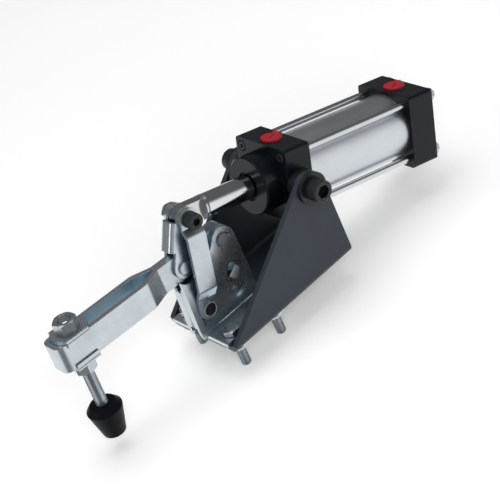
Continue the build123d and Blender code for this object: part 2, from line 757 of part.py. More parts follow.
def port_plug(x):
    """Moulded transit plug: a hollow stem, a flange with a slot and a pull tab."""
    top = cap_width / 2
    flange = Cylinder(plug_flange_r, plug_flange_height, align=(Align.CENTER, Align.CENTER, Align.MIN))
    tab = Pos(plug_flange_r, 0, 0) * Box(
        2 * plug_tab_reach, plug_tab_width, plug_flange_height, align=(Align.CENTER, Align.CENTER, Align.MIN))
    stem = Cylinder(port_r, plug_stem, align=(Align.CENTER, Align.CENTER, Align.MAX))
    hollow = Cylinder(plug_hollow_r, plug_stem, align=(Align.CENTER, Align.CENTER, Align.MAX))
    slot = Pos(0, 0, plug_flange_height) * Box(
        plug_slot_length, plug_slot_width, plug_slot_depth, align=(Align.CENTER, Align.CENTER, Align.MAX))
    return Pos(x, 0, top) * Rot(0, 0, plug_tab_turn) * (flange + tab + stem - hollow - slot)


def rod_wiper():
    nose = -boss_length + wiper_sink
    return rod_x(wiper_r, nose, nose + wiper_depth) - rod_x(rod_r + running_gap, nose, nose + wiper_depth)


def rod_bush():
    low = -boss_length + wiper_sink + wiper_depth
    high = low + rod_bush_length
    return rod_x(rod_r + rod_bush_wall, low, high) - rod_x(rod_r + running_gap, low, high)


def rod_seal():
    low = -boss_length + wiper_sink + wiper_depth + rod_bush_length
    high = low + rod_seal_length
    return rod_x(rod_seal_r, low, high) - rod_x(rod_r + running_gap, low, high)


def piston_rod():
    """Ground rod from its end fitting to the piston, tapped in front and turned down behind."""
    front = eye_x + rod_end_length
    rod = rod_x(rod_r, front, piston_front)
    rod = chamfer(rod.edges().filter_by(GeomType.CIRCLE).sort_by(Axis.X)[0], rod_end_chamfer)
    rod += rod_x(piston_spigot_r, piston_front, piston_rear + piston_nut_height - piston_nut_recess + piston_tail)
    return rod - rod_x(rod_end_stud_r, front, front + rod_end_stud_length)


def rod_end():
    """Eye with two flats that slips between the handle's plates, screwed into the rod."""
    shoulder = eye_x + rod_end_shoulder
    back = eye_x + rod_end_length
    neck = rod_x(rod_r, eye_x - rod_end_eye_r, back)
    neck = chamfer(neck.edges().filter_by(GeomType.CIRCLE).sort_by(Axis.X)[-1], rod_end_chamfer)
    tip = Pos(eye_x, 0) * Circle(rod_end_eye_r)
    blade = make_face(Polyline(
        (eye_x, -rod_end_eye_r), (shoulder, -rod_end_eye_r),
        (shoulder, rod_end_eye_r), (eye_x, rod_end_eye_r), close=True))
    flats = slab(tip + blade, -neck_y, neck_y)
    collar = rod_x(2 * rod_r, shoulder, back)
    neck = (neck & flats) + (neck & collar)
    neck += rod_x(rod_end_stud_r, back, back + rod_end_stud_length)
    return neck - drum(eye_x, 0, rod_end_bush_r, -neck_y, neck_y)


def rod_end_bush():
    return drum(eye_x, 0, rod_end_bush_r, -neck_y, neck_y) - drum(eye_x, 0, drive_r + running_gap, -neck_y, neck_y)


def ring_in_piston(x_low, width, depth):
    """A ring seated in a groove of the piston, out to the running gap."""
    outer_r = tube_bore_r - running_gap
    inner_r = tube_bore_r - piston_gap - depth
    return rod_x(outer_r, x_low, x_low + width) - rod_x(inner_r, x_low, x_low + width)


def piston_rings():
    """Two lip seals with a wear ring between them, evenly spread along the piston."""
    land = (piston_length - piston_nut_recess - 2 * piston_seal_width - wear_ring_width) / 4
    first = piston_front + land
    middle = first + piston_seal_width + land
    last = middle + wear_ring_width + land
    seals = [ring_in_piston(first, piston_seal_width, piston_seal_depth),
             ring_in_piston(last, piston_seal_width, piston_seal_depth)]
    return seals, ring_in_piston(middle, wear_ring_width, wear_ring_depth)


def piston():
    body = rod_x(tube_bore_r - piston_gap, piston_front, piston_rear)
    body -= rod_x(piston_spigot_r, piston_front, piston_rear)
    body -= rod_x(piston_nut_recess_r, piston_rear - piston_nut_recess, piston_rear)
    seals, wear_ring = piston_rings()
    return body - seals[0] - seals[1] - wear_ring


def piston_nut():
    nut = along(piston_rear - piston_nut_recess) * hex_prism(piston_nut_across, piston_nut_height)
    return nut - rod_x(piston_spigot_r, piston_front, piston_rear + piston_nut_height)


# Fixed frame
save("bracket", bracket())
left_half = base_half()
save("base_plate_left", left_half)
save("base_plate_right", mirrored(left_half))
save("base_bolts", *(bolt_places() * hex_bolt()))
save("base_nuts", *(bolt_places() * base_nut()))
save("arm_pivot_rivets", arm_rivet(), mirrored(arm_rivet()))
save("link_pivot_pin", link_pin())

# Arm
save("arm", arm_place * arm())
save("arm_bush", arm_place * bush(0, arm_bush_r, arm_pin_r + running_gap))
save("arm_handle_bush", arm_place * bush(-arm_crank, handle_bush_r, handle_rivet_r + running_gap))

# Spindle and what holds it on the arm
spindle_place = arm_place * Pos(-spindle_ahead, 0, 0)
flipped = Rot(180, 0, 0)
save("spindle_washer_top", spindle_place * spindle_washer())
save("spindle_washer_bottom", spindle_place * flipped * spindle_washer())
save("spindle_nuts", spindle_place * spindle_nut(), spindle_place * flipped * spindle_nut())
save("spindle_bolt", spindle_place * spindle())
save("rubber_cap", spindle_place * rubber_cap())

# Handle
save("handle", handle_place * handle())
save("handle_rivet", handle_place * handle_rivet())

# Links and drive screw
left_link = link()
left_ring = link_ring()
screw_ends = drive_screw()
save("link_left", link_place * left_link)
save("link_right", link_place * mirrored(left_link))
save("link_pivot_rings", link_place * left_ring, link_place * mirrored(left_ring))
save("drive_screw", link_place * screw_ends[0], link_place * screw_ends[1])
save("drive_washers", link_place * drive_washer(), link_place * mirrored(drive_washer()))
save("drive_nut", link_place * drive_nut())

# Cylinder
save("front_cap", cylinder_place * front_cap())
save("rear_cap", cylinder_place * rear_cap())
save("barrel", cylinder_place * barrel())
corners = [Pos(0, y, z) for y in (-tie_rod_offset, tie_rod_offset) for z in (-tie_rod_offset, tie_rod_offset)]
save("tie_rods", *[cylinder_place * corner * tie_rod() for corner in corners])
save("tie_rod_nuts", *[cylinder_place * corner * tie_nut() for corner in corners])
save("barrel_seals", cylinder_place * barrel_seal(front_cap_length - tube_seat / 2),
     cylinder_place * barrel_seal(tube_end + tube_seat / 2))
save("trunnion_screws", cylinder_place * trunnion_screw(), cylinder_place * mirrored(trunnion_screw()))
save("trunnion_washers", cylinder_place * trunnion_washer(), cylinder_place * mirrored(trunnion_washer()))
save("trunnion_bushes", cylinder_place * trunnion_bush(), cylinder_place * mirrored(trunnion_bush()))
save("port_plugs", cylinder_place * port_plug(front_cap_length / 2),
     cylinder_place * port_plug(cylinder_end - rear_cap_length / 2))
save("rod_wiper", cylinder_place * rod_wiper())
save("rod_bush", cylinder_place * rod_bush())
save("rod_seal", cylinder_place * rod_seal())

# Rod and piston
save("piston_rod", cylinder_place * piston_rod())
save("rod_end", cylinder_place * rod_end())
save("rod_end_bush", cylinder_place * rod_end_bush())
save("piston", cylinder_place * piston())
seals, wear_ring = piston_rings()
save("piston_seals", cylinder_place * seals[0], cylinder_place * seals[1])
save("wear_ring", cylinder_place * wear_ring)
save("piston_nut", cylinder_place * piston_nut())
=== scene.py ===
import json
from math import asin, cos, degrees, pi, radians, sin

import bmesh
import bpy
from mathutils import Matrix, Vector

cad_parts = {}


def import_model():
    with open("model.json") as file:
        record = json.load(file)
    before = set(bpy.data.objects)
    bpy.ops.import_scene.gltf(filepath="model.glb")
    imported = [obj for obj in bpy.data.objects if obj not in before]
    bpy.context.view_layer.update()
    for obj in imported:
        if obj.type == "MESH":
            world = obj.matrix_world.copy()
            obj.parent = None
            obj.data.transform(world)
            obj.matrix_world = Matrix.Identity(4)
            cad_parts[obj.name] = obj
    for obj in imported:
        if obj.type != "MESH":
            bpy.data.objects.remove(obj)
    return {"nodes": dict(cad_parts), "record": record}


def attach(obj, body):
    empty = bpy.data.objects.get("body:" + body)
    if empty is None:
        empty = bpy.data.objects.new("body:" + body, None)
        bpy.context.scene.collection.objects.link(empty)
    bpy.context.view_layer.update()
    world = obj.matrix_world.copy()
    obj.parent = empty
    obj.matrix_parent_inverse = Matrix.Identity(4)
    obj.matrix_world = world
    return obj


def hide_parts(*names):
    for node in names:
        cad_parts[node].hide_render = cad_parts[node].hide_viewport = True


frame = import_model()

# Toggle clamp with an air cylinder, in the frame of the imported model: +X to the cylinder's rear,
# +Z up. The first values below are in metres, the later ones, as marked, in millimetres. Angles
# are in degrees unless radians() stands beside them.
nodes = frame["nodes"]
joints = {joint["name"]: joint for joint in frame["record"]["behaviour"]["joints"]}
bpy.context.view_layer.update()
scene = bpy.context.scene
mm = 0.001
up = Vector((0.0, 0.0, 1.0))

# Camera: the photograph's direction, roll, distance and lens
view_azimuth = radians(-26.956)
view_elevation = radians(33.728)
view_roll = radians(-25.154)
view_distance = 1.5255
view_target = Vector((0.07872, 0.07776, -0.01552))
view_lens = 128.55
view_sensor = 36.0
view_clip = (0.05, 50.0)

# Floor and world; floor_lift is the floor's own glow for the camera and for reflections
floor_height = -0.018
floor_size = 12.0
floor_colour = 0.9
floor_fibre_share = 0.99
floor_lift = 0.22
world_ambient = 0.34

# What reflections see: brightness of the room, of its low front side and of the floor,
# the heights between which that front side fades, and one dark card
surround_low = 0.12
surround_high = 0.95
surround_floor = 0.98
surround_fade = (0.12, 0.4)
surround_horizon = (-0.12, 0.0)
surround_front = (0.45, -0.89, 0.0)
surround_front_end = 0.7
shade_card = (-0.50, -0.66, -0.55)
shade_card_edge = (0.76, 0.88)
shade_card_depth = 0.8

# Lamps: place, point aimed at, side of the square, power, whether reflections show it
lamps = {
    "key": ((-0.7, -1.9, 1.25), (0.03, 0.0, 0.05), 1.3, 26.0, False),
    "overhead": ((0.25, 0.25, 2.0), (0.05, 0.0, 0.05), 1.4, 16.0, True),
    "fill": ((-1.9, 0.4, 0.7), (0.0, 0.0, 0.05), 0.9, 6.0, True),
}

# Materials: the range that most noise values lie in, how many rays look for edges and recesses,
# the share of the plating that mirrors as metal (its skin scatters the rest), its darker edge
# tone, the zinc's colour, the painted shade its recesses go over to, and how far painted shade
# reaches into the hollows of the black coatings
noise_range = (0.3, 0.7)
bevel_samples = 4
recess_samples = 8
plating_metal = 0.95
plating_edge_tone = (0.30, 0.36, 0.40)
zinc_colour = (0.64, 0.69, 0.735)
zinc_painted_shade = (0.16, 0.37, 0.48)
painted_shade_reach = 60 * mm
plastic_glow_radius = (0.002, 0.0006, 0.0004)
cylinder_turn = (0.0, radians(17.268), 0.0)

# Meshes: distances within which points are one, and the angle from which an edge stays sharp
weld = 1e-3 * mm
fine_weld = 1e-4 * mm
sharp_angle = radians(32.0)
lathe_segments = 60

# Threads, standard coarse M8 and M10: each row's share of the pitch and whether it is the crest
thread_segments = 32
thread_rows = ((0.0, False), (0.16, False), (0.48, True), (0.64, True))
thread_core_share = 0.9
stud_crest_r = 4.0 * mm
stud_root_r = 3.35 * mm
stud_pitch = 1.25 * mm
stud_chamfer = 0.8 * mm
stud_in_head = 1.0 * mm
stud_head_across = 13.0 * mm
stud_head_height = 5.3 * mm
spindle_crest_r = 5.0 * mm
spindle_root_r = 4.0 * mm
spindle_pitch = 1.5 * mm
spindle_chamfer = 1.0 * mm

# Knurls on socket heads: piece, node, body, head radius and height, teeth, heads on both sides
knurl_height = 0.18 * mm
knurl_sleeve = 0.4 * mm
knurl_span = (0.18, 0.84)
knurled_heads = (
    ("drive_screw_knurl", "drive_screw", "links", 6.5 * mm, 8.0 * mm, 44, False),
    ("trunnion_screw_knurls", "trunnion_screws", "cylinder", 9.0 * mm, 12.0 * mm, 56, True),
)

# From here on in millimetres. The arm's pivot as x and z, and how far ahead of it the spindle is
arm_pivot = (17.5, 74.0)
arm_tilt = 3.8
spindle_ahead = 145.3

# The base halves' two faces. Shapes that are joined run into each other by overlap, and past the
# faces that they share by sink.
base_inner_y = 4.6
base_outer_y = 8.3
overlap = 1.0
sink = 0.02

# Front lip of a base half, rolled inwards, with a finger above it; lip_cut is the box that takes
# the plain lip off first, as x, y, length and width
front_foot = (-35.0, 21.0)
front_lean = 4.629
front_strip = 6.2
lip_bend_r = 6.0
lip_bend_inner_r = 2.3
lip_low_y = 0.1
lip_top = 32.6
finger_top = 38.4
lip_cut = (2.1, 5.0, 8.2, 10.4)

# Window of a base half with its bent tongue, and the pressed dome beside it
window_centre = (14.1, 44.2)
window_length = 14.2
window_width = 11.7
window_margin = 1.5
cad_window_turn = 59.0
window_turn = -59.4
tab_length = 6.8
tab_width = 10.6
tab_sheet = 2.0
tab_lean = 20.0
tab_root = (-0.4, 0.5)
dome_centre = (11.0, 28.3)
dome_r = 9.0
dome_height = 2.6
dome_rows = 12

# Spacer rings on the links' lower pivot
ring_proud_y = 13.8
ring_inner_r = 5.05
ring_outer_r = 6.4
ring_edge = 0.5
ring_segments = 48

# Black socket ends of the tie rods
socket_head_r = 3.9
socket_across = 3.6
socket_foot = -0.2
socket_floor = 0.4
socket_top = 1.8
socket_edge = 0.5
socket_segments = 48

# Saddle washers and nuts of the spindle on the arm, whose half height and half slot they need;
# the groove in a washer's fold is given as low, high and deep
arm_half = 11.3
slot_half = 6.9
side_gap = 0.2
seat_gap = 0.04
washer_r = 15.5
washer_sheet = 2.7
washer_lip = 3.0
washer_fold = 1.4
washer_fold_edge = 0.5
washer_groove = (0.9, 1.5, 0.6)
washer_guide = 2.0
washer_rim = washer_sheet / 3
washer_arc_steps = 16
bore_points = 48
nut_across = 17.0
nut_height = 10.2
nut_bore_r = 5.05
nut_sink = 0.9
nut_turn = -17.0

# Hexagons, as shares of the distance from centre to flat: top face, core and washer face of a
# head, widest round row, where the turned corners start, and a nut's rows that become hexagons.
# Corners drop by a share of what stands out, and a washer face is a share of the width high.
hex_top_share = 0.93
head_core_share = 0.5
head_washer_share = 0.94
head_round_share = 0.96
head_corner_share = 0.95
nut_outer_share = 1.1
nut_corner_share = 0.98
corner_drop = 0.5
head_washer_height = 0.04


def new_material(name):
    """A material with only a Principled shader and its output."""
    material = bpy.data.materials.new(name)
    material.use_nodes = True
    tree = material.node_tree
    tree.nodes.clear()
    output = tree.nodes.new("ShaderNodeOutputMaterial")
    shader = tree.nodes.new("ShaderNodeBsdfPrincipled")
    tree.links.new(shader.outputs["BSDF"], output.inputs["Surface"])
    return material, tree, shader


def place_coordinates(tree, stretch=(1.0, 1.0, 1.0), turn=(0.0, 0.0, 0.0)):
    """Object coordinates, stretched and turned for grain that runs one way."""
    coordinates = tree.nodes.new("ShaderNodeTexCoord")
    mapping = tree.nodes.new("ShaderNodeMapping")
    mapping.inputs["Scale"].default_value = stretch
    mapping.inputs["Rotation"].default_value = turn
    tree.links.new(coordinates.outputs["Object"], mapping.inputs["Vector"])
    return mapping.outputs["Vector"]


def noise(tree, vector, scale, detail, roughness=0.55):
    """Noise values on a vector."""
    node = tree.nodes.new("ShaderNodeTexNoise")
    node.inputs["Scale"].default_value = scale
    node.inputs["Detail"].default_value = detail
    node.inputs["Roughness"].default_value = roughness
    tree.links.new(vector, node.inputs["Vector"])
    return node.outputs["Fac"]


def remap(tree, value, low, high, out_low=0.0, out_high=1.0):
    """A value's range low..high stretched to another range."""
    node = tree.nodes.new("ShaderNodeMapRange")
    node.inputs["From Min"].default_value = low
    node.inputs["From Max"].default_value = high
    node.inputs["To Min"].default_value = out_low
    node.inputs["To Max"].default_value = out_high
    tree.links.new(value, node.inputs["Value"])
    return node.outputs["Result"]


def mix_colour(tree, factor, first, second):
    """Two colours, each a tuple or a socket, mixed by a socket."""
    node = tree.nodes.new("ShaderNodeMix")
    node.data_type = "RGBA"
    for value, name in ((factor, "Factor_Float"), (first, "A_Color"), (second, "B_Color")):
        socket = next(s for s in node.inputs if s.identifier == name)
        if isinstance(value, bpy.types.NodeSocket):
            tree.links.new(value, socket)
        else:
            socket.default_value = (*value, 1.0)
    return next(s for s in node.outputs if s.identifier == "Result_Color")


def calculate(tree, operation, first, second):
    """One operation on two values, each a number or a socket."""
    node = tree.nodes.new("ShaderNodeMath")
    node.operation = operation
    for value, socket in ((first, node.inputs[0]), (second, node.inputs[1])):
        if isinstance(value, bpy.types.NodeSocket):
            tree.links.new(value, socket)
        else:
            socket.default_value = value
    return node.outputs[0]


def scaled(colour, share, lift=0.0):
    """A colour times a share, plus a lift."""
    return tuple(v * share + lift for v in colour)


def mottled(tree, cloud, colour, share, start=noise_range[0]):
    """A colour that noise takes to a share of itself."""
    factor = remap(tree, cloud, start, noise_range[1])
    return mix_colour(tree, factor, colour, scaled(colour, share))


def soft_edges(tree, radius):
    """Normal with rounded edges, and how far it turns from the flat one: 0 on faces."""
    bevel = tree.nodes.new("ShaderNodeBevel")
    bevel.samples = bevel_samples
    bevel.inputs["Radius"].default_value = radius
    flat = tree.nodes.new("ShaderNodeNewGeometry")
    dot = tree.nodes.new("ShaderNodeVectorMath")
    dot.operation = "DOT_PRODUCT"
    tree.links.new(bevel.outputs["Normal"], dot.inputs[0])
    tree.links.new(flat.outputs["Normal"], dot.inputs[1])
    return bevel.outputs["Normal"], remap(tree, dot.outputs["Value"], 1.0, 0.8)


def on_edges(tree, edge, share, tone, worn):
    """A tone that goes over to an edge tone by a share on edges."""
    return mix_colour(tree, calculate(tree, "MULTIPLY", edge, share), tone, worn)


def recess(tree, reach, shallow, deep, most=1.0):
    """How deep a point lies in a recess, from the open share of what is round it: the mask for
    painted shade.
    """
    hollow = tree.nodes.new("ShaderNodeAmbientOcclusion")
    hollow.samples = recess_samples
    hollow.inputs["Distance"].default_value = reach
    return remap(tree, hollow.outputs["AO"], shallow, deep, 0.0, most)


def gloss(tree, shader, texture, low, high):
    """Roughness that follows a texture from low to high."""
    tree.links.new(remap(tree, texture, *noise_range, low, high), shader.inputs["Roughness"])


def relief(tree, shader, height, normal, strength, distance):
    """Bump from a texture, on a rounded normal if there is one."""
    node = tree.nodes.new("ShaderNodeBump")
    node.inputs["Strength"].default_value = strength
    node.inputs["Distance"].default_value = distance
    tree.links.new(height, node.inputs["Height"])
    if normal is not None:
        tree.links.new(normal, node.inputs["Normal"])
    tree.links.new(node.outputs["Normal"], shader.inputs["Normal"])


def plated_steel(name, colour, shade, roughness, reach=22 * mm, edge_radius=0.35 * mm):
    """Zinc plating on rolled steel: cloudy tone, painted blue shade in recesses, fine pits, darker
    edges.
    """
    material, tree, shader = new_material(name)
    where = place_coordinates(tree)
    cloud = noise(tree, where, scale=55.0, detail=4.0)
    speckle = noise(tree, where, scale=1500.0, detail=2.0, roughness=0.7)
    normal, edge = soft_edges(tree, edge_radius)
    tone = mottled(tree, cloud, colour, 0.9, start=0.35)
    # Painted shade: the deeper a point lies in a recess, the more its tone goes over to the dark
    # blue shade colour.
    tone = mix_colour(tree, recess(tree, reach, shallow=0.7, deep=0.2), tone, shade)
    # Edges go over to a darker blue-grey tone.
    tone = on_edges(tree, edge, 0.45, tone, plating_edge_tone)
    tree.links.new(tone, shader.inputs["Base Color"])
    shader.inputs["Metallic"].default_value = plating_metal
    gloss(tree, shader, cloud, roughness * 0.85, roughness * 1.2)
    pits = calculate(tree, "ADD", speckle, calculate(tree, "MULTIPLY", cloud, 0.6))
    relief(tree, shader, pits, normal, strength=0.1, distance=0.08 * mm)
    return material


def satin_black(name, colour, roughness, grain, depth, edge_radius=0.5 * mm, sheen=0.3,
                edge_wear_and_highlight=0.004):
    """Black coating with a fine skin, painted shade in hollows, pale edges from wear and a painted
    highlight, and slightly uneven gloss.
    """
    material, tree, shader = new_material(name)
    where = place_coordinates(tree)
    skin = noise(tree, where, scale=grain, detail=3.0, roughness=0.6)
    cloud = noise(tree, where, scale=30.0, detail=3.0)
    normal, edge = soft_edges(tree, edge_radius)
    tone = mottled(tree, cloud, colour, 1.18)
    # Painted shade: hollows are darkened towards 15 percent of the colour.
    shadow = recess(tree, painted_shade_reach, shallow=0.9, deep=0.4, most=0.8)
    tone = mix_colour(tree, shadow, tone, scaled(colour, 0.15))
    # Pale edges: partly wear, partly a painted highlight.
    tone = on_edges(tree, edge, 0.4, tone, scaled(colour, 2.4, edge_wear_and_highlight))
    tree.links.new(tone, shader.inputs["Base Color"])
    shader.inputs["Specular IOR Level"].default_value = sheen
    gloss(tree, shader, cloud, roughness * 0.9, roughness * 1.15)
    relief(tree, shader, skin, normal, strength=0.18, distance=depth)
    return material


def drawn_aluminium(name, turn):
    """Satin anodised tube with fine drawing lines along its length."""
    material, tree, shader = new_material(name)
    where = place_coordinates(tree, stretch=(4.0, 900.0, 900.0), turn=turn)
    lines = noise(tree, where, scale=1.0, detail=3.0, roughness=0.7)
    cloud = noise(tree, place_coordinates(tree), scale=22.0, detail=3.0)
    factor = remap(tree, cloud, *noise_range)
    tone = mix_colour(tree, factor, (0.70, 0.735, 0.775), (0.64, 0.675, 0.715))
    tree.links.new(tone, shader.inputs["Base Color"])
    shader.inputs["Metallic"].default_value = 1.0
    gloss(tree, shader, lines, 0.3, 0.42)
    relief(tree, shader, lines, None, strength=0.12, distance=0.02 * mm)
    return material


def ground_chrome(name, colour, roughness, turn):
    """Hard chrome or ground bar: rings of fine grinding marks round the axis."""
    material, tree, shader = new_material(name)
    where = place_coordinates(tree, stretch=(2500.0, 6.0, 6.0), turn=turn)
    marks = noise(tree, where, scale=1.0, detail=2.0, roughness=0.7)
    cloud = noise(tree, place_coordinates(tree), scale=40.0, detail=2.0)
    normal = soft_edges(tree, 0.3 * mm)[0]
    tree.links.new(mottled(tree, cloud, colour, 0.93), shader.inputs["Base Color"])
    shader.inputs["Metallic"].default_value = 1.0
    gloss(tree, shader, marks, roughness * 0.8, roughness * 1.3)
    relief(tree, shader, marks, normal, strength=0.05, distance=0.01 * mm)
    return material


def moulded(name, colour, roughness, grain, depth, translucent=0.0, sheen=0.5):
    """Rubber or plastic from a mould: fine grain, slightly uneven gloss, pale edges from scuffs
    and a painted highlight.
    """
    material, tree, shader = new_material(name)
    where = place_coordinates(tree)
    skin = noise(tree, where, scale=grain, detail=3.0, roughness=0.65)
    cloud = noise(tree, where, scale=60.0, detail=2.0)
    normal, edge = soft_edges(tree, 0.4 * mm)
    tone = mottled(tree, cloud, colour, 0.85)
    # Pale edges: partly scuffs, partly a painted highlight.
    tone = on_edges(tree, edge, 0.25, tone, scaled(colour, 1.6, 0.01))
    tree.links.new(tone, shader.inputs["Base Color"])
    gloss(tree, shader, cloud, roughness * 0.9, roughness * 1.1)
    shader.inputs["Specular IOR Level"].default_value = sheen
    shader.inputs["Subsurface Weight"].default_value = translucent
    shader.inputs["Subsurface Radius"].default_value = plastic_glow_radius
    relief(tree, shader, skin, normal, strength=0.25, distance=depth)
    return material


def sintered(name):
    """Sintered bronze: open pores and a brown oil tone."""
    material, tree, shader = new_material(name)
    pores = noise(tree, place_coordinates(tree), scale=2600.0, detail=2.0, roughness=0.8)
    normal = soft_edges(tree, 0.2 * mm)[0]
    tone = mix_colour(tree, remap(tree, pores, 0.4, 0.6), (0.38, 0.24, 0.11), (0.58, 0.4, 0.2))
    tree.links.new(tone, shader.inputs["Base Color"])
    shader.inputs["Metallic"].default_value = 0.9
    gloss(tree, shader, pores, 0.55, 0.35)
    relief(tree, shader, pores, normal, strength=0.3, distance=0.03 * mm)
    return material


# Each plated steel's second colour is the painted shade that its recesses go over to.
slot_materials = {
    "black_paint": satin_black("powder_coat", (0.030, 0.038, 0.050), roughness=0.42,
                               grain=900.0, depth=0.05 * mm),
    "zinc": plated_steel("zinc_plate", zinc_colour, zinc_painted_shade, roughness=0.27),
    "fastener_steel": plated_steel("zinc_fastener", (0.58, 0.62, 0.65), (0.12, 0.22, 0.28),
                                   roughness=0.22, reach=6 * mm, edge_radius=0.25 * mm),
    "bright_steel": ground_chrome("ground_steel", (0.7, 0.71, 0.73), roughness=0.2,
                                  turn=cylinder_turn),
    "black_oxide": satin_black("black_oxide", (0.012, 0.013, 0.015), roughness=0.3,
                               grain=1800.0, depth=0.02 * mm, edge_radius=0.35 * mm,
                               sheen=0.4, edge_wear_and_highlight=0.16),
    "black_anodised": satin_black("black_anodising", (0.004, 0.006, 0.009), roughness=0.22,
                                  grain=2200.0, depth=0.02 * mm, sheen=0.25),
    "tube_aluminium": drawn_aluminium("satin_tube", turn=cylinder_turn),
    "chrome": ground_chrome("hard_chrome", (0.74, 0.75, 0.77), roughness=0.12,
                            turn=cylinder_turn),
    "bronze": sintered("sintered_bronze"),
    "seal_rubber": moulded("seal_rubber", (0.008, 0.008, 0.009), roughness=0.5,
                           grain=1800.0, depth=0.03 * mm, sheen=0.2),
    "tip_rubber": moulded("tip_rubber", (0.004, 0.005, 0.007), roughness=0.42,
                          grain=1300.0, depth=0.06 * mm, sheen=0.1),
    "bearing_plastic": moulded("bearing_plastic", (0.7, 0.69, 0.64), roughness=0.4,
                               grain=900.0, depth=0.02 * mm),
    "red_plastic": moulded("red_plastic", (0.42, 0.010, 0.022), roughness=0.3,
                           grain=900.0, depth=0.03 * mm, translucent=0.05, sheen=0.35),
}
# The second colour of each of these is again painted shade for its recesses.
thread_steel = plated_steel("zinc_thread", (0.72, 0.76, 0.79), (0.20, 0.28, 0.33),
                            roughness=0.14, reach=1.5 * mm, edge_radius=0.05 * mm)
worn_steel = plated_steel("worn_rivet_steel", (0.30, 0.34, 0.37), (0.06, 0.13, 0.17),
                          roughness=0.36)


def dress_nodes():
    """Each carried-over node gets the material of its slot; the arm's rivets are worn."""
    slot_of = {part["node"]: part["material_slot"] for part in frame["record"]["subparts"]}
    for name, node in nodes.items():
        worn = name == "arm_pivot_rivets"
        node.data.materials.clear()
        node.data.materials.append(worn_steel if worn else slot_materials[slot_of[name]])


def camera():
    """The photograph's camera: looks at the target from its direction, rolled about its axis."""
    level = Vector((cos(view_azimuth), sin(view_azimuth), 0.0))
    back = Vector((sin(view_azimuth) * cos(view_elevation),
                   -cos(view_azimuth) * cos(view_elevation), sin(view_elevation)))
    upright = back.cross(level)
    right = level * cos(view_roll) + upright * sin(view_roll)
    top = upright * cos(view_roll) - level * sin(view_roll)
    data = bpy.data.cameras.new("photo_camera")
    data.lens = view_lens
    data.sensor_width = view_sensor
    data.clip_start, data.clip_end = view_clip
    rig = bpy.data.objects.new("photo_camera", data)
    turn = Matrix((right, top, back)).transposed().to_4x4()
    rig.matrix_world = Matrix.Translation(view_target + back * view_distance) @ turn
    scene.collection.objects.link(rig)
    scene.camera = rig


def softbox(name, place, aim, side, power, mirrored):
    """A square lamp at a place, turned to a point."""
    data = bpy.data.lights.new(name, "AREA")
    data.shape = "RECTANGLE"
    data.size = side
    data.size_y = side
    data.energy = power
    lamp = bpy.data.objects.new(name, data)
    lamp.visible_glossy = mirrored
    lamp.location = place
    lamp.rotation_euler = (Vector(aim) - Vector(place)).to_track_quat("-Z", "Y").to_euler()
    scene.collection.objects.link(lamp)


def blend(tree, factor, first, second):
    """First number at factor 0, second at factor 1."""
    kept = calculate(tree, "MULTIPLY", first, calculate(tree, "SUBTRACT", 1.0, factor))
    return calculate(tree, "ADD", kept, calculate(tree, "MULTIPLY", second, factor))


def along(tree, direction, axis):
    """How far a direction points along an axis."""
    dot = tree.nodes.new("ShaderNodeVectorMath")
    dot.operation = "DOT_PRODUCT"
    dot.inputs[1].default_value = axis
    tree.links.new(direction, dot.inputs[0])
    return dot.outputs["Value"]


def surround(tree):
    """What a reflection sees: white paper below with a dark card, a grey room, bright in front."""
    direction = tree.nodes.new("ShaderNodeTexCoord").outputs["Generated"]
    height = along(tree, direction, up)
    low = remap(tree, height, *surround_fade, 1.0, 0.0)
    front = remap(tree, along(tree, direction, surround_front), 0.0, surround_front_end)
    room = remap(tree, calculate(tree, "MULTIPLY", low, front), 0.0, 1.0,
                 surround_low, surround_high)
    below = remap(tree, height, *surround_horizon, 1.0, 0.0)
    level = blend(tree, below, room, surround_floor)
    card = remap(tree, along(tree, direction, shade_card), *shade_card_edge,
                 0.0, shade_card_depth)
    return calculate(tree, "MULTIPLY", level, calculate(tree, "SUBTRACT", 1.0, card))


def seen_by(tree, *rays):
    """1 for the named kinds of rays, 0 for all others."""
    path = tree.nodes.new("ShaderNodeLightPath")
    seen = path.outputs[rays[0]]
    for ray in rays[1:]:
        seen = calculate(tree, "MAXIMUM", seen, path.outputs[ray])
    return seen


def world():
    """White to the camera and through glass, the surround to reflections, dim to all else."""
    studio_world = bpy.data.worlds.new("studio")
    studio_world.use_nodes = True
    tree = studio_world.node_tree
    tree.nodes.clear()
    output = tree.nodes.new("ShaderNodeOutputWorld")
    background = tree.nodes.new("ShaderNodeBackground")
    background.inputs["Color"].default_value = (1.0, 1.0, 1.0, 1.0)
    direct = seen_by(tree, "Is Camera Ray", "Is Transmission Ray")
    strength = remap(tree, direct, 0.0, 1.0, world_ambient, 1.0)
    strength = blend(tree, seen_by(tree, "Is Glossy Ray"), strength, surround(tree))
    tree.links.new(strength, background.inputs["Strength"])
    tree.links.new(background.outputs["Background"], output.inputs["Surface"])
    scene.world = studio_world


